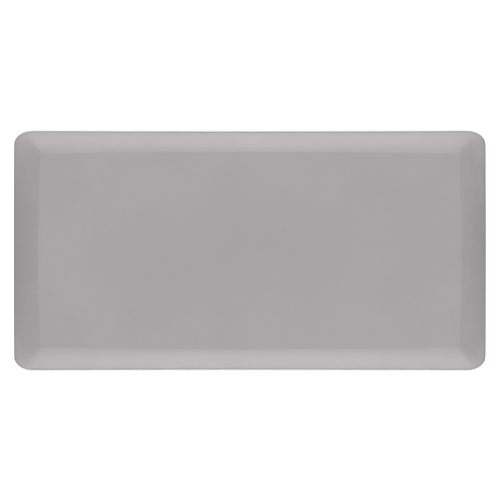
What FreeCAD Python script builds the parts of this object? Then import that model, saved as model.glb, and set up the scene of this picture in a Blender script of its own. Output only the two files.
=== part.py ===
# Anti-fatigue standing mat: a foam pad with four bevelled sides, wrapped in a moulded skin that is
# turned under its edge, on a non-slip base sheet.
#
# Millimetres. The origin is the middle of the underside, on the floor: +X runs along the length,
# +Y across the width and +Z up. Every layer is a separate solid, and each one seats face to face
# on the next.

import FreeCAD
import Part

import math
import os
from collections import namedtuple

# Overall size
LENGTH = 990.0  # over the middles of the two ends
WIDTH = 501.0  # over the long sides, close to the corners, where they stand furthest out
THICKNESS = 19.0  # from the floor to the standing surface

# Plan of the outer edge
CORNER_ALONG = 38.0  # each corner is a quarter of an ellipse: its half axis along the length
CORNER_ACROSS = 27.5  # and its half axis across the width
END_BOW = 0.5  # how far the middle of an end stands out past its corners
SIDE_BOW = -1.0  # the same for a long side, which pulls in

# Bevel between the standing surface and the edge
END_BEVEL = 53.0  # its width at the middle of an end
SIDE_BEVEL = 44.0  # its width at the middle of a long side
CREASE_R = 7.0  # corner radius of the crease round the standing surface
END_CREASE_BOW = 5.0  # how far the crease along an end bows outwards
SIDE_CREASE_BOW = 4.0  # the same for the crease along a long side
EDGE_H = 7.0  # height of the edge above the floor, where the bevel starts
EDGE_ROUND = 3.5  # radius between the bevel and the upright edge
HEM_ROUND = 1.0  # radius where the skin turns under the edge

# Layers, from the top down
SKIN_T = 1.0  # moulded skin
BOND_T = 0.3  # each sheet of hot-melt bond
BASE_T = 1.6  # non-slip base sheet
HEM_W = 16.0  # how far the skin's hem reaches in under the core
BASE_SETBACK = 2.5  # the base sheet stops this far inside the outer edge

TIGHTEST_R = 0.5  # a corner that an inset would make sharper keeps this radius
FILLET_SHARE = 0.95  # a fillet takes at most this share of the wall that it runs into
SAME_PLACE = 1e-6  # two heights nearer than this are one

# The skin stands on the lower bond, which stands on the base sheet.
SKIN_Z = BASE_T + BOND_T

# reach_x and reach_y are the distances from the middle to the middle of an end and of a side, and
# bow_x and bow_y say how far those middles stand out past the corners. corner_x and corner_y are
# the half axes of the corners.
Outline = namedtuple("Outline", "reach_x reach_y bow_x bow_y corner_x corner_y")

EDGE = Outline(
    LENGTH / 2,
    WIDTH / 2 + SIDE_BOW,
    END_BOW,
    SIDE_BOW,
    CORNER_ALONG,
    CORNER_ACROSS,
)
CREASE = Outline(
    EDGE.reach_x - END_BEVEL,
    EDGE.reach_y - SIDE_BEVEL,
    END_CREASE_BOW,
    SIDE_CREASE_BOW,
    CREASE_R,
    CREASE_R,
)

# Angle of the bevel above the floor, taken as the mean of an end's and a side's
BEVEL_ANGLE = math.atan2(THICKNESS - EDGE_H, (END_BEVEL + SIDE_BEVEL) / 2)


def inset(outline, distance):
    """The outline moved inwards by a distance all round."""
    return Outline(
        outline.reach_x - distance,
        outline.reach_y - distance,
        outline.bow_x,
        outline.bow_y,
        max(outline.corner_x - distance, TIGHTEST_R),
        max(outline.corner_y - distance, TIGHTEST_R),
    )


def stretch(start, middle, end, z):
    """The edge through three points of the plan, which is straight if they are in line."""
    points = [FreeCAD.Vector(x, y, z) for x, y in (start, middle, end)]
    turn = (points[1] - points[0]).cross(points[2] - points[1])
    if turn.Length < SAME_PLACE:
        return Part.LineSegment(points[0], points[2]).toShape()
    return Part.Arc(*points).toShape()


def corner(start, tip, end, weight, z):
    """The edge from a start to an end that a tip draws outwards: with the cosine of half the turn
    as its weight, it is exactly part of an ellipse."""
    curve = Part.BezierCurve()
    curve.setPoles([FreeCAD.Vector(x, y, z) for x, y in (start, tip, end)])
    curve.setWeight(2, weight)
    return curve.toShape()


def outline_wire(outline, z):
    """The outline at one height: four bowed stretches and four corners, tangent where they meet."""
    centre_x = outline.reach_x - outline.bow_x - outline.corner_x
    centre_y = outline.reach_y - outline.bow_y - outline.corner_y
    # A stretch that bows by b over a half length c ends turned by twice the angle of b over c.
    end_turn = 2 * math.atan(outline.bow_x / centre_y)
    side_turn = 2 * math.atan(outline.bow_y / centre_x)
    # The angles round the ellipse at which it runs on into an end and into a side
    first = math.atan2(outline.corner_y * math.sin(end_turn), outline.corner_x * math.cos(end_turn))
    last = math.atan2(outline.corner_y * math.cos(side_turn), outline.corner_x * math.sin(side_turn))
    weight = math.cos((last - first) / 2)

    def by_corner(angle, sx, sy, out=1.0):
        x = centre_x + outline.corner_x * math.cos(angle) * out
        y = centre_y + outline.corner_y * math.sin(angle) * out
        return (sx * x, sy * y)

    edges = []
    for quarter, (sx, sy) in enumerate([(1, 1), (-1, 1), (-1, -1), (1, -1)]):
        # The corners are walked one way and, where they are mirrored, the other.
        start, end = (last, first) if quarter % 2 else (first, last)
        tip = by_corner((first + last) / 2, sx, sy, 1 / weight)
        edges.append(corner(by_corner(start, sx, sy), tip, by_corner(end, sx, sy), weight, z))
        beyond = (sx, -sy) if quarter % 2 else (-sx, sy)
        middle = (sx * outline.reach_x, 0) if quarter % 2 else (0, sy * outline.reach_y)
        edges.append(stretch(by_corner(end, sx, sy), middle, by_corner(end, *beyond), z))
    return Part.Wire(edges)


def prism(outline, z_low, z_high):
    """A flat sheet with that outline between two heights."""
    face = Part.Face(outline_wire(outline, z_low))
    return face.extrude(FreeCAD.Vector(0, 0, z_high - z_low))


def round_level(solid, z, radius):
    """Rounds every edge of the solid that lies at one height."""
    level = [e for e in solid.Edges if all(abs(v.Z - z) < SAME_PLACE for v in e.Vertexes)]
    return solid.makeFillet(radius, level)


def pad_form(depth):
    """The pad's outer shape, moved inwards by a depth: an upright edge, the bevel and the flat top."""
    low = SKIN_Z + depth
    edge_z = EDGE_H - depth * math.tan(math.pi / 4 - BEVEL_ANGLE / 2)
    edge = inset(EDGE, depth)
    crease = inset(CREASE, depth * math.tan(BEVEL_ANGLE / 2))
    wires = [
        outline_wire(edge, low),
        outline_wire(edge, edge_z),
        outline_wire(crease, THICKNESS - depth),
    ]
    form = Part.makeLoft(wires, True, True)
    hem_round = max(HEM_ROUND - depth, 0)
    most = FILLET_SHARE * (edge_z - low - hem_round)
    form = round_level(form, edge_z, min(EDGE_ROUND - depth, most))
    if hem_round > 0:
        form = round_level(form, low, hem_round)
    return form


def hem_window(z_low, z_high):
    """The part of the underside that the skin's hem leaves open, between two heights."""
    return prism(inset(EDGE, HEM_W), z_low, z_high)


def top_skin():
    """The moulded skin: standing surface, bevels, edge and the hem turned under the core."""
    inside = pad_form(SKIN_T)
    return pad_form(0).cut(inside).cut(hem_window(SKIN_Z, SKIN_Z + SKIN_T))


def top_bond():
    """The sheet of hot-melt bond that lines the skin, hem included."""
    outer = pad_form(SKIN_T)
    inner = pad_form(SKIN_T + BOND_T)
    return outer.cut(inner).cut(hem_window(SKIN_Z + SKIN_T, SKIN_Z + SKIN_T + BOND_T))


def foam_core():
    """The foam core: it fills the lined skin, and its raised land fills the window in the hem."""
    filling = pad_form(SKIN_T + BOND_T)
    land = hem_window(SKIN_Z, SKIN_Z + SKIN_T + BOND_T)
    return filling.fuse(land).removeSplitter()


def base_bond():
    """The sheet of hot-melt bond between the base sheet and the core, over the hem."""
    return prism(inset(EDGE, BASE_SETBACK), BASE_T, SKIN_Z)


def base_sheet():
    """The non-slip sheet that stands on the floor and hides the hem."""
    return prism(inset(EDGE, BASE_SETBACK), 0, BASE_T)


def main():
    os.makedirs("parts", exist_ok=True)
    for make in (top_skin, top_bond, foam_core, base_bond, base_sheet):
        shape = make()
        solids = shape.Solids
        if len(solids) != 1 or not solids[0].isValid():
            raise RuntimeError(f"{make.__name__} is not one valid solid")
        solids[0].exportStep(f"parts/{make.__name__}.step")
        size = solids[0].optimalBoundingBox()
        print(
            f"{make.__name__}: {size.XLength:.1f} x {size.YLength:.1f} x {size.ZLength:.1f} mm, "
            f"{solids[0].Volume / 1000:.1f} cm3"
        )


main()
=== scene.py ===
"""Anti-fatigue mat: a moulded skin over a foam pad, bond films between them and a grip sheet below."""

import math
from typing import NamedTuple

import bmesh
import bpy
from bpy.props import FloatProperty, FloatVectorProperty, PointerProperty
from bpy.types import Operator, Panel, PropertyGroup
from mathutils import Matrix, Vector, noise


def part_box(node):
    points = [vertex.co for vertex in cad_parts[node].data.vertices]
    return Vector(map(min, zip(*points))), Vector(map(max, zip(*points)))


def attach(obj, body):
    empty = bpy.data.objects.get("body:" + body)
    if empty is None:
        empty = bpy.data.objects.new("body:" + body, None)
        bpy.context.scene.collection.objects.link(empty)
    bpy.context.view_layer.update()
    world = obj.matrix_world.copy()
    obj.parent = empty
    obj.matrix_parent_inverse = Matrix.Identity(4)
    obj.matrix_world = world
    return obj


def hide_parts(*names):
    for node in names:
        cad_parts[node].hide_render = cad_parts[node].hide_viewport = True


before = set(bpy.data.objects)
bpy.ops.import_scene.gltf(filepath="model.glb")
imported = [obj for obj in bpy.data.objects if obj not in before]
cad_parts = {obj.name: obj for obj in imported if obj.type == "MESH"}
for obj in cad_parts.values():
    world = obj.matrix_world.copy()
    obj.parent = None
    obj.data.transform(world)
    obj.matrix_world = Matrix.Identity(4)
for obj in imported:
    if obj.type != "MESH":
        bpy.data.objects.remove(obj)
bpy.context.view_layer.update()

bl_info = {
    "name": "Anti-Fatigue Mat",
    "version": (1, 0, 0),
    "blender": (4, 5, 0),
    "location": "View3D > Sidebar > Mat",
    "description": "Builds a bevelled foam standing mat layer by layer, and the studio that it is shown in",
    "category": "Add Mesh",
}

MM = 0.001  # a millimetre, in metres
TINY = 1e-6  # lengths and shares nearer than this are the same

# Heights and layer thicknesses, in metres, from the construction frame
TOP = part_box("top_skin")[1].z
SKIN_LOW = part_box("top_skin")[0].z
SKIN_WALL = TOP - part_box("top_bond")[1].z
BOND_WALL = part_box("top_bond")[1].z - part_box("foam_core")[1].z
SHEET_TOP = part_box("base_sheet")[1].z


def level_reach(node, z):
    """How far a node of the frame reaches along X and along Y at one height."""
    level = [v.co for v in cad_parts[node].data.vertices if abs(v.co.z - z) < TINY]
    return max(p.x for p in level), max(p.y for p in level)


# ---------------------------------------------------------------------------------------------
# Sizes and colours
# ---------------------------------------------------------------------------------------------


def length(name, description, default):
    """A size in metres that a user may change."""
    return FloatProperty(
        name=name, description=description, default=default, unit="LENGTH", precision=5
    )


def angle(name, description, degrees):
    """An angle that a user may change."""
    return FloatProperty(
        name=name, description=description, default=math.radians(degrees), subtype="ANGLE"
    )


def strength(name, description, default):
    """A brightness that a user may change."""
    return FloatProperty(name=name, description=description, default=default, min=0)


def colour(name, description, default):
    """A colour that a user may change."""
    return FloatVectorProperty(
        name=name, description=description, default=default, subtype="COLOR", size=3, min=0, max=1
    )


class MAT_PG_pad(PropertyGroup):
    """Shape of the moulded pad"""

    corner_along: length("Corner along", "Half axis of the outer corners along the length", 38 * MM)
    corner_across: length("Corner across", "Half axis of the outer corners across the width", 27.5 * MM)
    end_bow: length("End bow", "How far the middle of an end stands out past its corners", 0.5 * MM)
    side_bow: length("Side bow", "The same for a long side, which pulls in", -1 * MM)
    crease_radius: length("Crease radius", "Plan radius of the crease's corners", 6 * MM)
    ease_along: length(
        "Ease along", "How much the bevel's corners lengthen along the mat halfway down", -4 * MM
    )
    ease_across: length("Ease across", "The same across the mat", 10 * MM)
    end_crease_bow: length("End crease bow", "How far the crease along an end bows outwards", 5 * MM)
    side_crease_bow: length("Side crease bow", "The same for the crease along a long side", 4 * MM)
    crease_width: length("Crease width", "Half the width over which the crease is rounded", 2 * MM)
    crown: length("Bevel crown", "How far the bevels swell above a straight slope", 1 * MM)
    side_lean: length(
        "Side lean", "How far a side's bevel is pushed out in its upper half, and drawn in below", 1.06 * MM
    )
    end_lean: length("End lean", "The same for an end's bevel, which goes the other way", -0.77 * MM)
    edge_height: length("Edge height", "Height of the upright edge above the floor", 7 * MM)
    edge_round: length("Edge round", "Reach of the rounding between the bevel and the edge", 5 * MM)
    hem_round: length("Hem round", "Reach of the rounding where the skin turns under", 1 * MM)
    hem_width: length("Hem width", "How far the skin is turned in under the pad", 16 * MM)
    settle: length("Settling", "Depth of the shallow dips in the standing surface", 0.25 * MM)
    settle_span: length("Settling span", "Distance between the dips", 170 * MM)


class MAT_PG_grip(PropertyGroup):
    """Moulded pattern of the grip sheet"""

    pitch: length("Pitch", "Distance between the diamonds along the mat", 12 * MM)
    groove: length("Groove", "Half the width of the groove between two diamonds", 0.9 * MM)
    draft: length("Draft", "Plan width of a diamond's sloping flank", 0.45 * MM)
    depth: length("Depth", "Height of the diamonds", 0.7 * MM)
    margin: length("Margin", "Plain border round the pattern", 13 * MM)
    border_row: length("Border row", "Width of the border's first row of faces", 2 * MM)
    lip: length("Lip", "Rounding of the sheet's lower rim", 0.5 * MM)


class MAT_PG_finish(PropertyGroup):
    """Colours and grain"""

    skin: colour("Skin", "Colour of the moulded skin", (0.258, 0.241, 0.245))
    foam: colour("Foam", "Colour of the foam core", (0.10, 0.10, 0.102))
    bond: colour("Bond", "Colour of the bond films", (0.62, 0.57, 0.46))
    sheet: colour("Grip sheet", "Colour of the grip sheet", (0.055, 0.055, 0.058))
    dust: colour("Dust", "Colour of the dust in the grooves of the grip sheet", (0.30, 0.29, 0.27))
    pebble: length("Pebble", "Size of one pebble of the skin's grain", 1.5 * MM)
    relief: length("Relief", "Depth of the skin's grain", 0.06 * MM)
    skin_patch: length("Skin patch", "Size of the soft patches in the skin's tone", 160 * MM)
    skin_fleck: length("Skin fleck", "Size of the small flecks in the skin's tone", 12 * MM)
    foam_cell: length("Foam cell", "Size of one cell of the foam", 0.9 * MM)
    foam_relief: length("Foam relief", "Depth of the foam's cells", 0.25 * MM)
    foam_patch: length("Foam patch", "Size of the patches in the foam's tone", 30 * MM)
    strand: length("Strand", "Distance between the strands of a bond film", 2.5 * MM)
    strand_relief: length("Strand relief", "Height of the strands", 0.08 * MM)
    bond_patch: length("Bond patch", "Size of the glossier patches of a bond film", 20 * MM)
    rubber_grain: length("Rubber grain", "Size of one grain of the grip sheet", 0.5 * MM)
    rubber_relief: length("Rubber relief", "Depth of the grip sheet's grain", 0.03 * MM)
    rubber_patch: length("Rubber patch", "Size of the patches in the grip sheet's tone", 50 * MM)
    dust_speck: length("Dust speck", "Size of the dust's specks", 1.2 * MM)


class MAT_PG_studio(PropertyGroup):
    """Camera, lights and floor"""

    lens: FloatProperty(name="Lens", description="Focal length", default=85, unit="CAMERA")
    fill: FloatProperty(
        name="Fill",
        description="Share of the view's width that the mat takes up",
        default=0.9442,
        subtype="FACTOR",
    )
    camera_along: length("Camera along", "How far the camera is off the mat's middle, lengthwise", 0.3 * MM)
    camera_across: length("Camera across", "The same across the mat", 1.2 * MM)
    side_tilt: angle("Side tilt", "How far the lights beside the mat tilt from straight above", 40)
    side_spread: angle("Side spread", "How wide each light beside the mat looks from it", 20)
    side_strength: strength("Side strength", "Strength of the light beside each long side", 1.33)
    corner_tilt: angle("Corner tilt", "How far the lights off the corners also tilt along the mat", 35)
    corner_strength: strength("Corner strength", "Strength of the light off each corner", 0.546)
    top_spread: angle("Top spread", "How wide the light above the mat looks from it", 40)
    top_strength: strength("Top strength", "Strength of the light above the mat", 0.55)
    sky: strength("Sky", "Strength of the dim light from all round", 0.13)
    backdrop: strength("Backdrop", "Brightness of the white backdrop", 1.1)
    floor: colour("Floor", "Colour of the floor", (0.92, 0.92, 0.92))
    floor_glow: strength("Floor glow", "How strongly the floor is lit from below", 0.12)


# ---------------------------------------------------------------------------------------------
# Outlines: the plan shapes that every layer follows
# ---------------------------------------------------------------------------------------------

LEAST_CORNER = 1 * MM  # a corner that an inset would make sharper keeps this half axis


class Rim(NamedTuple):
    """How the cells round a grid are shared out: along X, along Y and over half a corner."""

    cells_x: int
    cells_y: int
    corner: int
    grading: float  # how much the cells shrink towards a corner, from 0 to 1


class Outline(NamedTuple):
    """A rectangle with bowed sides and elliptical corners, given by its reach to each side's middle."""

    reach_x: float
    reach_y: float
    bow_x: float
    bow_y: float
    corner_x: float
    corner_y: float

    def inset(self, distance):
        """The outline moved inwards by a distance all round."""
        return self.spread(-distance, -distance).eased(-distance, -distance)

    def spread(self, along, across):
        """The outline with its ends moved outwards by one distance and its long sides by another."""
        return self._replace(reach_x=self.reach_x + along, reach_y=self.reach_y + across)

    def eased(self, along, across):
        """The outline with the half axes of its corners lengthened by two distances."""
        return self._replace(
            corner_x=max(self.corner_x + along, LEAST_CORNER),
            corner_y=max(self.corner_y + across, LEAST_CORNER),
        )

    def towards(self, other, share):
        """The outline part of the way to another one."""
        return Outline(*(a + (b - a) * share for a, b in zip(self, other)))

    def point(self, rim, u, v):
        """The point for a place on the rim of a grid that runs from -1 to 1 both ways."""
        centre_x = self.reach_x - self.bow_x - self.corner_x
        centre_y = self.reach_y - self.bow_y - self.corner_y
        end_turn = ellipse_angle(2 * math.atan(self.bow_x / centre_y), self.corner_y, self.corner_x)
        side_turn = ellipse_angle(2 * math.atan(self.bow_y / centre_x), self.corner_x, self.corner_y)
        if abs(v) > 1 - TINY:
            side = Side(
                self.reach_y, centre_x, centre_y, self.corner_x, self.corner_y, side_turn, end_turn
            )
            x, y = side.point(abs(u), rim.cells_x, rim)
        else:
            side = Side(
                self.reach_x, centre_y, centre_x, self.corner_y, self.corner_x, end_turn, side_turn
            )
            y, x = side.point(abs(v), rim.cells_y, rim)
        return math.copysign(x, u), math.copysign(y, v)


def ellipse_angle(facing, along, across):
    """How far round an ellipse with those half axes it faces an angle away from the second one."""
    return math.atan2(along * math.sin(facing), across * math.cos(facing))


class Side(NamedTuple):
    """Half of one side of an outline, from its middle to the middle of the corner's curve."""

    reach: float
    centre_along: float
    centre_across: float
    corner_along: float
    corner_across: float
    turn: float
    other_turn: float

    def on_corner(self, angle):
        """The point of the corner at that angle round its ellipse, as (along, across)."""
        return (
            self.centre_along + self.corner_along * math.sin(angle),
            self.centre_across + self.corner_across * math.cos(angle),
        )

    def point(self, share, cells, rim):
        """The point at a share of the grid's side, from 0 in its middle to 1, as (along, across)."""
        stretch = cells / 2 - rim.corner
        place = share * cells / 2
        if place < stretch:
            step = place / stretch
            step += rim.grading * (math.sin(step * math.pi / 2) - step)
            along, across = self.on_corner(self.turn)
            return step * along, self.reach + (across - self.reach) * step**2
        middle = (self.turn + math.pi / 2 - self.other_turn) / 2
        return self.on_corner(self.turn + (middle - self.turn) * (place - stretch) / rim.corner)


# ---------------------------------------------------------------------------------------------
# Mesh building
# ---------------------------------------------------------------------------------------------

RELAX_ROUNDS = 80  # rounds of smoothing that even out the inside of a plate


def start_mesh():
    """An empty mesh whose points remember their place on the grid and how worn they are."""
    bm = bmesh.new()
    for name in ("u", "v", "worn"):
        bm.verts.layers.float.new(name)
    bm.edges.layers.float.new("crease_edge")
    return bm


def place_ring(bm, verts, rim, outline, z, worn=0.0):
    """Moves a ring of points onto an outline at one height."""
    u, v, wear = (bm.verts.layers.float[name] for name in ("u", "v", "worn"))
    for vert in verts:
        vert.co = (*outline.point(rim, vert[u], vert[v]), z)
        vert[wear] = worn


def add_plate(bm, rim, outline, z):
    """Adds a flat grid that fills an outline, and returns its faces and its rim."""
    u, v = bm.verts.layers.float["u"], bm.verts.layers.float["v"]
    verts = bmesh.ops.create_grid(bm, x_segments=rim.cells_x, y_segments=rim.cells_y, size=1)["verts"]
    for vert in verts:
        vert[u], vert[v] = vert.co.x, vert.co.y
    border = [vert for vert in verts if vert.is_boundary]
    inside = [vert for vert in verts if not vert.is_boundary]
    bmesh.ops.scale(bm, verts=inside, vec=(outline.reach_x, outline.reach_y, 1))
    bmesh.ops.translate(bm, verts=inside, vec=(0, 0, z))
    place_ring(bm, border, rim, outline, z)
    for _ in range(RELAX_ROUNDS):
        bmesh.ops.smooth_vert(bm, verts=inside, factor=0.5, use_axis_x=True, use_axis_y=True)
    faces = list(dict.fromkeys(face for vert in verts for face in vert.link_faces))
    edges = [edge for face in faces for edge in face.edges if edge.is_boundary]
    return faces, edges


def extrude_rim(bm, rim_edges):
    """Extrudes a rim into one more ring of faces, and returns the new faces, rim and points."""
    made = bmesh.ops.extrude_edge_only(bm, edges=rim_edges)["geom"]
    faces = [item for item in made if isinstance(item, bmesh.types.BMFace)]
    edges = [item for item in made if isinstance(item, bmesh.types.BMEdge)]
    verts = [item for item in made if isinstance(item, bmesh.types.BMVert)]
    return faces, edges, verts


def keep_sharp(bm, edges):
    """Keeps edges crisp through the subdivision and in the shading."""
    crease = bm.edges.layers.float["crease_edge"]
    for edge in edges:
        edge[crease] = 1.0
        edge.smooth = False


def put_in_order(bm):
    """Numbers a mesh's parts by their places, because the extrusions leave them in a chance order."""
    u, v = bm.verts.layers.float["u"], bm.verts.layers.float["v"]
    for number, vert in enumerate(sorted(bm.verts, key=lambda vert: (vert[u], vert[v], *vert.co))):
        vert.index = number
    for parts in (bm.edges, bm.faces):
        in_order = sorted(parts, key=lambda part: sorted(vert.index for vert in part.verts))
        for number, part in enumerate(in_order):
            part.index = number
    for parts in (bm.verts, bm.edges, bm.faces):
        parts.sort()


def make_piece(bm, name, material, replaced, levels):
    """Turns a mesh into a finished piece that rides on the mat and stands for a node of the frame."""
    put_in_order(bm)
    mesh = bpy.data.meshes.new(name)
    bm.to_mesh(mesh)
    bm.free()
    mesh.shade_smooth()
    mesh.materials.append(material)
    piece = bpy.data.objects.new(name, mesh)
    bpy.context.scene.collection.objects.link(piece)
    if levels:
        subdivision = piece.modifiers.new("Subdivision", "SUBSURF")
        subdivision.levels = levels
        subdivision.render_levels = levels
    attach(piece, "root")
    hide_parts(replaced)
    return piece


# ---------------------------------------------------------------------------------------------
# The pad: one surface, moved inwards by a depth, makes the skin, the bond film and the foam
# ---------------------------------------------------------------------------------------------

PAD_RIM = Rim(cells_x=34, cells_y=20, corner=4, grading=0.6)
NO_WEAR, FAINT_WEAR, SOME_WEAR, FULL_WEAR = 0.0, 0.2, 0.4, 1.0
BEVEL_SHARES = (0.22, 0.4, 0.58, 0.76)  # how far down the bevel its own rings lie
LEAN_SCALE = 10.4  # makes the most of a bevel's lean 1
EDGE_MIDDLE = 0.45  # how far down the upright edge its middle ring lies
EDGE_FOOT = 0.2  # how far up the upright edge its lowest ring but one lies
LEAST_HEM_ROUND = 0.2 * MM  # the rounding that is left where the skin turns under, deep in the pad
HEM_LAST_ROW = 1 * MM  # width of the last row of faces of the hem
DIP_PLACE = Vector((3.1, 7.7, 0.4))  # the place in the noise that the dips are taken from


def edge_outline(pad):
    """The outline of the pad's upright edge."""
    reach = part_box("top_skin")[1]
    return Outline(
        reach.x,
        reach.y + pad.side_bow,
        pad.end_bow,
        pad.side_bow,
        pad.corner_along,
        pad.corner_across,
    )


def crease_outline(pad):
    """The outline of the crease round the standing surface."""
    reach_x, reach_y = level_reach("top_skin", TOP)
    return Outline(
        reach_x,
        reach_y,
        pad.end_crease_bow,
        pad.side_crease_bow,
        pad.crease_radius,
        pad.crease_radius,
    )


def pad_rings(pad, depth):
    """The rings of one surface, outwards and under from the standing surface: (outline, height, wear)."""
    edge = edge_outline(pad)
    crease = crease_outline(pad)
    width = (edge.reach_x - crease.reach_x + edge.reach_y - crease.reach_y) / 2
    slope = math.atan2(TOP - pad.edge_height, width)

    edge = edge.inset(depth)
    crease = crease.inset(depth * math.tan(slope / 2))
    top = TOP - depth
    low = SKIN_LOW + depth
    edge_z = pad.edge_height - depth * math.tan(math.pi / 4 - slope / 2)
    wall = edge_z - low
    hem_round = max(pad.hem_round - depth, LEAST_HEM_ROUND)

    def bevel(share, worn=NO_WEAR):
        # The bulge is 1 halfway down, and the lean is 1 a fifth of the way down and -1 at four fifths.
        bulge = 4 * share * (1 - share)
        lean = LEAN_SCALE * share * (1 - share) * (1 - 2 * share)
        outline = crease.towards(edge, share)
        outline = outline.eased(pad.ease_along * bulge, pad.ease_across * bulge)
        outline = outline.spread(pad.end_lean * lean, pad.side_lean * lean)
        return outline, top + (edge_z - top) * share + pad.crown * bulge, worn

    return [
        (crease.inset(pad.crease_width), top, FAINT_WEAR),
        (crease, top, FULL_WEAR),
        bevel(pad.crease_width / width, FAINT_WEAR),
        *(bevel(share) for share in BEVEL_SHARES),
        bevel(1 - pad.edge_round / width, FAINT_WEAR),
        (edge, edge_z, FULL_WEAR),
        (edge, edge_z - EDGE_MIDDLE * wall, SOME_WEAR),
        (edge, low + EDGE_FOOT * wall, FAINT_WEAR),
        (edge, low, FAINT_WEAR),
        (edge.inset(hem_round), low, NO_WEAR),
        (edge.inset(pad.hem_width - depth - HEM_LAST_ROW), low, NO_WEAR),
        (edge.inset(pad.hem_width - depth), low, NO_WEAR),
    ]


def add_pad_surface(bm, pad, depth):
    """Adds one surface of the pad down to the end of its hem, and returns its faces and that rim."""
    rings = pad_rings(pad, depth)
    outline, z, _ = rings[0]
    faces, rim_edges = add_plate(bm, PAD_RIM, outline, z)
    for outline, z, worn in rings[1:]:
        new_faces, rim_edges, verts = extrude_rim(bm, rim_edges)
        place_ring(bm, verts, PAD_RIM, outline, z, worn)
        faces += new_faces
    for vert in dict.fromkeys(vert for face in faces for vert in face.verts):
        vert.co.z -= settling(pad, vert.co)
    return faces, rim_edges


def settling(pad, point):
    """How far the pad has settled at a point: shallow dips on top that fade out towards the floor."""
    place = Vector((point.x, point.y, 0)) / pad.settle_span + DIP_PLACE
    dip = 0.5 + 0.5 * noise.noise(place)
    height = max(point.z - pad.edge_height, 0) / (TOP - pad.edge_height)
    return pad.settle * dip * height


def pad_shell(pad, depth, wall):
    """A closed shell between two surfaces of the pad, joined at the end of the hem."""
    bm = start_mesh()
    _, outer_rim = add_pad_surface(bm, pad, depth)
    inner_faces, inner_rim = add_pad_surface(bm, pad, depth + wall)
    bmesh.ops.reverse_faces(bm, faces=inner_faces)
    bmesh.ops.bridge_loops(bm, edges=outer_rim + inner_rim)
    keep_sharp(bm, outer_rim + inner_rim)
    return bm


class MAT_OT_make_skin(Operator):
    """Make the moulded skin: standing surface, bevels, edge and the hem turned under"""

    bl_idname = "mat.make_skin"
    bl_label = "Moulded skin"

    def execute(self, context):
        bm = pad_shell(context.scene.mat_pad, 0, SKIN_WALL)
        material = skin_material(context.scene.mat_finish, context.scene.mat_pad)
        make_piece(bm, "moulded_skin", material, "top_skin", levels=2)
        return {"FINISHED"}


class MAT_OT_make_films(Operator):
    """Make the bond film that lines the skin, and finish the flat one above the grip sheet"""

    bl_idname = "mat.make_films"
    bl_label = "Bond films"

    def execute(self, context):
        material = bond_material(context.scene.mat_finish)
        bm = pad_shell(context.scene.mat_pad, SKIN_WALL, BOND_WALL)
        make_piece(bm, "lining_film", material, "top_bond", levels=1)
        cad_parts["base_bond"].data.materials[0] = material
        return {"FINISHED"}


class MAT_OT_make_foam(Operator):
    """Make the foam core with the land that fills the window in the hem"""

    bl_idname = "mat.make_foam"
    bl_label = "Foam core"

    def execute(self, context):
        bm = start_mesh()
        _, hem_rim = add_pad_surface(bm, context.scene.mat_pad, SKIN_WALL + BOND_WALL)
        window = pad_rings(context.scene.mat_pad, SKIN_WALL + BOND_WALL)[-1][0]
        land_faces, land_rim = add_plate(bm, PAD_RIM, window, SKIN_LOW)
        bmesh.ops.reverse_faces(bm, faces=land_faces)
        bmesh.ops.bridge_loops(bm, edges=hem_rim + land_rim)
        keep_sharp(bm, hem_rim + land_rim)
        material = foam_material(context.scene.mat_finish)
        piece = make_piece(bm, "foam_pad", material, "foam_core", levels=1)
        return {"FINISHED"}


# ---------------------------------------------------------------------------------------------
# The grip sheet
# ---------------------------------------------------------------------------------------------

BORDER_CUTS = 3  # how often an edge of the border's first row is cut, for the sheet's finer rim
ROUND_MIDDLE = 0.3  # how far along its reach the middle ring of a rounding lies
CRISP_ANGLE = math.radians(30)  # edges that turn further than this look crisp


class MAT_OT_make_grip_sheet(Operator):
    """Make the grip sheet with its field of moulded diamonds on the underside"""

    bl_idname = "mat.make_grip_sheet"
    bl_label = "Grip sheet"

    def execute(self, context):
        bm = grip_sheet(context.scene.mat_grip, context.scene.mat_pad)
        material = sheet_material(context.scene.mat_finish, context.scene.mat_grip)
        make_piece(bm, "grip_sheet", material, "base_sheet", levels=0)
        return {"FINISHED"}


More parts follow.
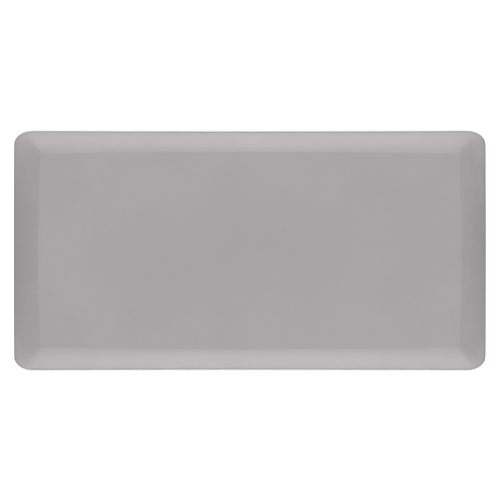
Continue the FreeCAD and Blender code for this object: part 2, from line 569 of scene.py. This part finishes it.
def grip_sheet(grip, pad):
    """The sheet with diamonds that stand on the floor, a plain border and a closed top."""
    outline = edge_outline(pad).inset(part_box("top_skin")[1].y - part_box("base_sheet")[1].y)
    field_x, field_y = outline.reach_x - grip.margin, outline.reach_y - grip.margin
    rim = Rim(round(2 * field_x / grip.pitch), round(2 * field_y / grip.pitch), corner=2, grading=0)

    bm = start_mesh()
    u, v = bm.verts.layers.float["u"], bm.verts.layers.float["v"]
    bmesh.ops.create_grid(bm, x_segments=rim.cells_x, y_segments=rim.cells_y, size=1)
    for vert in bm.verts:
        vert[u], vert[v] = vert.co.x, vert.co.y
    bmesh.ops.scale(bm, verts=bm.verts[:], vec=(field_x, field_y, 1))
    bmesh.ops.translate(bm, verts=bm.verts[:], vec=(0, 0, grip.depth))
    bmesh.ops.reverse_faces(bm, faces=bm.faces[:])

    rim_edges = [edge for edge in bm.edges if edge.is_boundary]
    cell_edges = [edge for edge in bm.edges if not edge.is_boundary]
    bmesh.ops.poke(bm, faces=bm.faces[:])
    bmesh.ops.dissolve_edges(bm, edges=cell_edges)
    diamonds = [face for face in bm.faces if len(face.verts) == 4]
    bmesh.ops.inset_individual(bm, faces=diamonds, thickness=grip.groove)
    bmesh.ops.inset_individual(bm, faces=diamonds, thickness=grip.draft, depth=grip.depth)

    _, rim_edges, verts = extrude_rim(bm, rim_edges)
    row = grip.border_row
    bmesh.ops.scale(bm, verts=verts, vec=(1 + row / field_x, 1 + row / field_y, 1))
    bmesh.ops.subdivide_edges(bm, edges=rim_edges, cuts=BORDER_CUTS)
    rim_edges = [edge for edge in bm.edges if edge.is_boundary]
    part_lip = grip.lip * ROUND_MIDDLE
    rings = (
        (grip.lip, grip.depth),
        (part_lip, grip.depth + part_lip),
        (0, grip.depth + grip.lip),
        (0, SHEET_TOP),
    )
    for inward, z in rings:
        _, rim_edges, verts = extrude_rim(bm, rim_edges)
        place_ring(bm, verts, rim, outline.inset(inward), z)
    bmesh.ops.triangle_fill(bm, edges=rim_edges, use_beauty=True)
    bmesh.ops.recalc_face_normals(bm, faces=bm.faces[:])
    for edge in bm.edges:
        edge.smooth = edge.calc_face_angle(0) < CRISP_ANGLE
    return bm


# ---------------------------------------------------------------------------------------------
# Materials
# ---------------------------------------------------------------------------------------------


def add(tree, kind, inputs=None, **settings):
    """Adds a node, with its settings, and links or sets its inputs by name or number."""
    node = tree.nodes.new(kind)
    for name, value in settings.items():
        setattr(node, name, value)
    for key, value in (inputs or {}).items():
        if isinstance(value, bpy.types.NodeSocket):
            tree.links.new(value, node.inputs[key])
        else:
            node.inputs[key].default_value = value
    return node


def math_node(tree, operation, a, b=0.0, c=0.0):
    """The result of a math node, such as a multiply-add, for sockets or numbers."""
    return add(tree, "ShaderNodeMath", {0: a, 1: b, 2: c}, operation=operation).outputs[0]


def remap(tree, value, low, high, to_low=0.0, to_high=1.0):
    """A value eased from one range into another."""
    inputs = {"Value": value, "From Min": low, "From Max": high, "To Min": to_low, "To Max": to_high}
    return add(tree, "ShaderNodeMapRange", inputs, interpolation_type="SMOOTHSTEP").outputs[0]


def vary(tree, value, *changes):
    """A value changed by masks, each given as (mask, the change where the mask is 1)."""
    for mask, amount in changes:
        value = math_node(tree, "MULTIPLY_ADD", mask, amount, value)
    return value


def vary_roughness(tree, shader, *changes):
    """Changes a shader's roughness by masks, given as for vary."""
    roughness = shader.inputs["Roughness"]
    tree.links.new(vary(tree, roughness.default_value, *changes), roughness)


def toned(tree, colour, tone):
    """A colour made lighter or darker by a tone, which is 1 where the colour stays as it is."""
    inputs = {0: colour, "Scale": tone}
    return add(tree, "ShaderNodeVectorMath", inputs, operation="SCALE").outputs[0]


def mix(tree, share, a, b):
    """A blend of two colours."""
    return add(tree, "ShaderNodeMix", {0: share, 6: a, 7: b}, data_type="RGBA").outputs[2]


def sized(tree, vector, size):
    """A position counted in multiples of a size."""
    scale = math_node(tree, "DIVIDE", 1.0, size)
    return add(tree, "ShaderNodeVectorMath", {0: vector, "Scale": scale}, operation="SCALE").outputs[0]


def effect(name, outputs, build):
    """A shader node group that takes a position and a size, built once."""
    if name in bpy.data.node_groups:
        return bpy.data.node_groups[name]
    tree = bpy.data.node_groups.new(name, "ShaderNodeTree")
    tree.interface.new_socket("Vector", in_out="INPUT", socket_type="NodeSocketVector")
    tree.interface.new_socket("Size", in_out="INPUT", socket_type="NodeSocketFloat")
    for output in outputs:
        tree.interface.new_socket(output, in_out="OUTPUT", socket_type="NodeSocketFloat")
    source = add(tree, "NodeGroupInput")
    place = sized(tree, source.outputs["Vector"], source.outputs["Size"])
    add(tree, "NodeGroupOutput", dict(zip(outputs, build(tree, place))))
    return tree


def pebbles(tree, place):
    """Rounded pebbles with narrow valleys: their height and where the valleys are."""
    warp = add(tree, "ShaderNodeTexNoise", {"Vector": place, "Scale": 0.8, "Detail": 1.0})
    moved = add(
        tree,
        "ShaderNodeVectorMath",
        {0: warp.outputs["Color"], 1: (0.7, 0.7, 0.7), 2: place},
        operation="MULTIPLY_ADD",
    )
    cells = add(
        tree,
        "ShaderNodeTexVoronoi",
        {"Vector": moved.outputs[0], "Scale": 1.0},
        feature="DISTANCE_TO_EDGE",
    )
    dome = remap(tree, cells.outputs["Distance"], 0.0, 0.3)
    fine = add(tree, "ShaderNodeTexNoise", {"Vector": place, "Scale": 5.0, "Detail": 2.0})
    height = math_node(tree, "MULTIPLY_ADD", fine.outputs["Fac"], 0.2, dome)
    return height, math_node(tree, "SUBTRACT", 1.0, dome)


def mottling(tree, place):
    """Soft patches from -1 to 1."""
    patches = add(tree, "ShaderNodeTexNoise", {"Vector": place, "Scale": 1.0, "Detail": 3.0})
    return (remap(tree, patches.outputs["Fac"], 0.25, 0.75, -1.0, 1.0),)


def dusting(tree, place):
    """Fine specks that gather in patches."""
    specks = add(tree, "ShaderNodeTexNoise", {"Vector": place, "Scale": 1.0, "Detail": 4.0})
    patches = add(tree, "ShaderNodeTexNoise", {"Vector": place, "Scale": 0.04, "Detail": 2.0})
    fine = remap(tree, specks.outputs["Fac"], 0.5, 0.72)
    return (math_node(tree, "MULTIPLY", fine, remap(tree, patches.outputs["Fac"], 0.4, 0.65)),)


def use_effect(tree, name, outputs, build, vector, size):
    """Places an effect in a material and returns its outputs."""
    group = effect(name, outputs, build)
    node = add(tree, "ShaderNodeGroup", node_tree=group)
    tree.links.new(vector, node.inputs["Vector"])
    node.inputs["Size"].default_value = size
    return [node.outputs[output] for output in outputs]


def grain(tree, vector, size):
    """The height and the valleys of pebbles of that size."""
    return use_effect(tree, "Pebble grain", ("Height", "Valleys"), pebbles, vector, size)


def mottle(tree, vector, size):
    """Soft patches of that size, from -1 to 1."""
    return use_effect(tree, "Mottling", ("Value",), mottling, vector, size)[0]


def dust(tree, vector, size):
    """A mask of dust with specks of that size."""
    return use_effect(tree, "Dust", ("Mask",), dusting, vector, size)[0]


def start_material(name, roughness, specular=0.5):
    """A new material with its shader, and the position on the piece that its patterns follow."""
    material = bpy.data.materials.new(name)
    material.use_nodes = True
    tree = material.node_tree
    shader = tree.nodes["Principled BSDF"]
    shader.inputs["Roughness"].default_value = roughness
    shader.inputs["Specular IOR Level"].default_value = specular
    place = add(tree, "ShaderNodeTexCoord").outputs["Object"]
    return material, tree, shader, place


def link_bump(tree, shader, height, depth):
    """Gives a shader a relief of a depth in metres."""
    bump = add(tree, "ShaderNodeBump", {"Height": height, "Distance": depth, "Strength": 1.0})
    tree.links.new(bump.outputs[0], shader.inputs["Normal"])


class Spot(NamedTuple):
    """A place where the skin's tone is painted lighter or darker as light or shade, in shares of the mat's
    half length and half width.
    """

    centre: tuple
    reach: tuple
    change: float


# Painted shade: the middle of the standing surface is painted a shade darker.
MIDDLE_PAINTED_SHADE = Spot(centre=(0, 0), reach=(0.95, 0.88), change=-0.04)
# Painted shade: the outer part of each end's bevel is painted darker.
END_PAINTED_SHADE = Spot(centre=(1.01, 0), reach=(0.158, 0.96), change=-0.1)
# Painted light: the bevels near the corners are painted lighter.
CORNER_PAINTED_LIGHT = Spot(centre=(0.99, 0.87), reach=(0.071, 0.2), change=0.065)
SPOT_CORE = 0.1  # the share of a spot's reach within which its change is whole

# The upright edge and the low end of the bevel are painted darker, as painted shade: a narrow band all
# round, and a wider lip along each long side.
RIM_START = 0.2 * MM  # how far above the upright edge both begin to fade
BAND_RISE = 1.4 * MM  # the height over which the band fades
BAND_SHADE_TONE = 0.86  # the tone that the band's painted shade multiplies the rest by, where it is whole
LIP_RISE = 3.8 * MM  # the height over which the lip fades
LIP_SHADE_CHANGE = -0.055  # how much the lip's painted shade changes the tone, where it is whole
LIP_ENDS = (0.9, 0.96)  # the shares of the half length between which the lip fades at its ends


def soft_spot(tree, share, spot):
    """A mask that is 1 in the middle of a spot and fades to 0 at its reach."""
    offset = add(tree, "ShaderNodeVectorMath", {0: share, 1: (*spot.centre, 0)}, operation="SUBTRACT")
    scale = (1 / spot.reach[0], 1 / spot.reach[1], 0)
    offset = add(tree, "ShaderNodeVectorMath", {0: offset.outputs[0], 1: scale}, operation="MULTIPLY")
    distance = add(tree, "ShaderNodeVectorMath", {0: offset.outputs[0]}, operation="LENGTH")
    return remap(tree, distance.outputs["Value"], SPOT_CORE, 1.0, 1.0, 0.0)


def skin_material(finish, pad):
    """Soft-touch moulded skin: fine pebble grain, faint mottling, creases rubbed a little smoother.

    Its tone is painted darker as shade in the middle, at the outer ends, along the lip of the long sides,
    in a narrow strip round the edge and in the grain's valleys, and painted lighter in the corners as
    light. Its four quarters are alike."""
    material, tree, shader, place = start_material("soft_skin", roughness=0.37, specular=0.68)
    grain_height, valleys = grain(tree, place, finish.pebble)
    patches = mottle(tree, place, finish.skin_patch)
    flecks = mottle(tree, place, finish.skin_fleck)
    worn = add(tree, "ShaderNodeAttribute", attribute_name="worn").outputs["Fac"]

    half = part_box("top_skin")[1]
    folded = add(tree, "ShaderNodeVectorMath", {0: place}, operation="ABSOLUTE").outputs[0]
    to_shares = {0: folded, 1: (1 / half.x, 1 / half.y, 1)}
    share = add(tree, "ShaderNodeVectorMath", to_shares, operation="MULTIPLY").outputs[0]
    along, _, height = add(tree, "ShaderNodeSeparateXYZ", {0: share}).outputs
    middle_shade, ends, corners = (soft_spot(tree, share, spot) for spot in (MIDDLE_PAINTED_SHADE, END_PAINTED_SHADE, CORNER_PAINTED_LIGHT))
    # Painted shade along the lip of the long sides and round the upright edge.
    rim_low = pad.edge_height + RIM_START
    lip = remap(tree, height, rim_low, rim_low + LIP_RISE, 1.0, 0.0)
    lip = math_node(tree, "MULTIPLY", lip, remap(tree, along, *LIP_ENDS, 1.0, 0.0))
    band = remap(tree, height, rim_low, rim_low + BAND_RISE, BAND_SHADE_TONE, 1.0)

    tone = vary(
        tree,
        1.012,
        (patches, 0.018),
        (middle_shade, MIDDLE_PAINTED_SHADE.change),
        (ends, END_PAINTED_SHADE.change),
        (lip, LIP_SHADE_CHANGE),
        (corners, CORNER_PAINTED_LIGHT.change),
        (flecks, 0.01),
    )
    tone = math_node(tree, "MULTIPLY", tone, band)
    # Painted shade: the valleys between the grain's pebbles are painted darker.
    tone = vary(tree, tone, (valleys, -0.08))
    tree.links.new(toned(tree, finish.skin, tone), shader.inputs["Base Color"])
    vary_roughness(tree, shader, (flecks, 0.03), (worn, -0.05))
    link_bump(tree, shader, grain_height, finish.relief)
    return material


def foam_material(finish):
    """Closed-cell foam: small round cells, painted darker in their hollows as shade, and patches of uneven
    tone.
    """
    material, tree, shader, place = start_material("cushion_foam", roughness=0.85, specular=0.3)
    cell_place = sized(tree, place, finish.foam_cell)
    cells = add(tree, "ShaderNodeTexVoronoi", {"Vector": cell_place, "Scale": 1.0})
    pits = remap(tree, cells.outputs["Distance"], 0.1, 0.6)
    patches = mottle(tree, place, finish.foam_patch)
    # Painted shade: each cell is darker towards its sunken middle.
    tone = vary(tree, 0.8, (patches, 0.06), (pits, 0.25))
    tree.links.new(toned(tree, finish.foam, tone), shader.inputs["Base Color"])
    link_bump(tree, shader, pits, finish.foam_relief)
    return material


THIN_FILM = 0.62  # how dark a bond film is between its strands


def bond_material(finish):
    """Hot-melt film: a web of strands, glossier where it has run together."""
    material, tree, shader, place = start_material("bond_film", roughness=0.38)
    strands = add(
        tree,
        "ShaderNodeTexVoronoi",
        {"Vector": sized(tree, place, finish.strand), "Scale": 1.0},
        feature="DISTANCE_TO_EDGE",
    )
    web = remap(tree, strands.outputs["Distance"], 0.02, 0.16, 1.0, 0.0)
    patches = mottle(tree, place, finish.bond_patch)
    thin = tuple(c * THIN_FILM for c in finish.bond)
    base = mix(tree, web, (*thin, 1), (*finish.bond, 1))
    tree.links.new(base, shader.inputs["Base Color"])
    vary_roughness(tree, shader, (patches, 0.1))
    link_bump(tree, shader, web, finish.strand_relief)
    return material


TIP_WEAR = (0.05 * MM, 0.3 * MM)  # the heights between which the diamonds' rubbed tips fade
GROOVE_SHARE = 0.5  # the share of the diamonds' height above which dust begins to gather
MOST_DUST = 0.16  # how much of the colour the dust takes at most


def sheet_material(finish, grip):
    """Grip rubber: matt and finely grained, dust in the grooves, diamond tips rubbed smoother."""
    material, tree, shader, place = start_material("grip_rubber", roughness=0.75, specular=0.4)
    height, valleys = grain(tree, place, finish.rubber_grain)
    patches = mottle(tree, place, finish.rubber_patch)
    z = add(tree, "ShaderNodeSeparateXYZ", {0: place}).outputs["Z"]
    tips = remap(tree, z, *TIP_WEAR, 1.0, 0.0)
    grooves = remap(tree, z, GROOVE_SHARE * grip.depth, grip.depth)
    # Painted shade: the valleys of the rubber's grain are painted darker; the lighter tips are wear.
    tone = vary(tree, 1.0, (patches, 0.08), (valleys, -0.15), (tips, 0.25))
    base = toned(tree, finish.sheet, tone)
    settled = math_node(tree, "MULTIPLY", dust(tree, place, finish.dust_speck), grooves)
    settled = math_node(tree, "MULTIPLY", settled, MOST_DUST)
    tree.links.new(mix(tree, settled, base, (*finish.dust, 1)), shader.inputs["Base Color"])
    vary_roughness(tree, shader, (tips, -0.18))
    link_bump(tree, shader, height, finish.rubber_relief)
    return material


# ---------------------------------------------------------------------------------------------
# Studio
# ---------------------------------------------------------------------------------------------

FLOOR_REACH = 30  # metres from the middle of the floor to its sides
SPAN_HEIGHT = 5 * MM  # the height at which the mat takes up its share of the view's width


class MAT_OT_make_studio(Operator):
    """Make the pale floor, the soft lights, the backdrop and a camera that looks straight down"""

    bl_idname = "mat.make_studio"
    bl_label = "Studio"

    def execute(self, context):
        studio = context.scene.mat_studio
        make_floor(studio)
        make_light("light_above", 0, 0, studio.top_spread, studio.top_strength)
        for side, tilt in (("front", -studio.side_tilt), ("back", studio.side_tilt)):
            make_light(f"light_{side}", 0, tilt, studio.side_spread, studio.side_strength)
            for end, turn in (("left", -studio.corner_tilt), ("right", studio.corner_tilt)):
                name = f"light_{side}_{end}"
                make_light(name, turn, tilt, studio.side_spread, studio.corner_strength)
        make_sky(context.scene, studio)
        make_camera(context.scene, studio)
        context.scene.view_settings.view_transform = "Standard"
        return {"FINISHED"}


def make_floor(studio):
    """A wide pale floor under the mat."""
    bm = bmesh.new()
    bmesh.ops.create_grid(bm, x_segments=1, y_segments=1, size=FLOOR_REACH)
    mesh = bpy.data.meshes.new("floor")
    bm.to_mesh(mesh)
    bm.free()
    material, _, shader, _ = start_material("studio_floor", roughness=0.9, specular=0.1)
    shader.inputs["Base Color"].default_value = (*studio.floor, 1)
    shader.inputs["Emission Color"].default_value = (1, 1, 1, 1)
    shader.inputs["Emission Strength"].default_value = studio.floor_glow
    mesh.materials.append(material)
    floor = bpy.data.objects.new("floor", mesh)
    bpy.context.scene.collection.objects.link(floor)


def make_light(name, tilt_x, tilt_y, spread, energy):
    """One wide soft light, the same all over the floor, that tilts by an angle each way."""
    light = bpy.data.lights.new(name, "SUN")
    light.energy = energy
    light.angle = spread
    lamp = bpy.data.objects.new(name, light)
    lamp.location = (math.tan(tilt_x), math.tan(tilt_y), 1)
    lamp.rotation_euler = lamp.location.to_track_quat("Z", "Y").to_euler()
    bpy.context.scene.collection.objects.link(lamp)


def make_sky(scene, studio):
    """Dim light from all round, in front of a white backdrop."""
    world = bpy.data.worlds.new("studio_sky")
    world.use_nodes = True
    tree = world.node_tree
    seen = add(tree, "ShaderNodeLightPath").outputs["Is Camera Ray"]
    level = math_node(tree, "MULTIPLY_ADD", seen, studio.backdrop - studio.sky, studio.sky)
    tree.nodes["Background"].inputs["Color"].default_value = (1, 1, 1, 1)
    tree.links.new(level, tree.nodes["Background"].inputs["Strength"])
    scene.world = world


def make_camera(scene, studio):
    """A camera straight above the mat, so high that the mat takes up its share of the view's width."""
    camera = bpy.data.cameras.new("camera")
    camera.lens = studio.lens
    stand = bpy.data.objects.new("camera", camera)
    low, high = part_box("top_skin")
    view_width = (high.x - low.x) / studio.fill
    distance = view_width * camera.lens / camera.sensor_width
    stand.location = (studio.camera_along, studio.camera_across, distance + SPAN_HEIGHT)
    scene.collection.objects.link(stand)
    scene.camera = stand


# ---------------------------------------------------------------------------------------------
# Panel and registration
# ---------------------------------------------------------------------------------------------

SETTINGS = {
    "mat_pad": MAT_PG_pad,
    "mat_grip": MAT_PG_grip,
    "mat_finish": MAT_PG_finish,
    "mat_studio": MAT_PG_studio,
}
MAKERS = (
    MAT_OT_make_skin,
    MAT_OT_make_films,
    MAT_OT_make_foam,
    MAT_OT_make_grip_sheet,
    MAT_OT_make_studio,
)


class MAT_PT_panel(Panel):
    """Sizes and colours of the mat, with a button for each layer"""

    bl_idname = "MAT_PT_panel"
    bl_label = "Anti-Fatigue Mat"
    bl_space_type = "VIEW_3D"
    bl_region_type = "UI"
    bl_category = "Mat"

    def draw(self, context):
        for maker in MAKERS:
            self.layout.operator(maker.bl_idname)
        for name, group in SETTINGS.items():
            box = self.layout.box()
            box.label(text=group.__doc__)
            for size in group.__annotations__:
                box.prop(getattr(context.scene, name), size)


CLASSES = (*SETTINGS.values(), *MAKERS, MAT_PT_panel)


def register():
    """Makes the settings, the operators and the panel known to Blender."""
    for cls in CLASSES:
        bpy.utils.register_class(cls)
    for name, group in SETTINGS.items():
        setattr(bpy.types.Scene, name, PointerProperty(type=group))


def unregister():
    """Takes them away again."""
    for name in SETTINGS:
        delattr(bpy.types.Scene, name)
    for cls in reversed(CLASSES):
        bpy.utils.unregister_class(cls)


def main():
    """Makes every layer and the studio."""
    register()
    bpy.ops.mat.make_skin()
    bpy.ops.mat.make_films()
    bpy.ops.mat.make_foam()
    bpy.ops.mat.make_grip_sheet()
    bpy.ops.mat.make_studio()


if __name__ == "__main__":
    main()
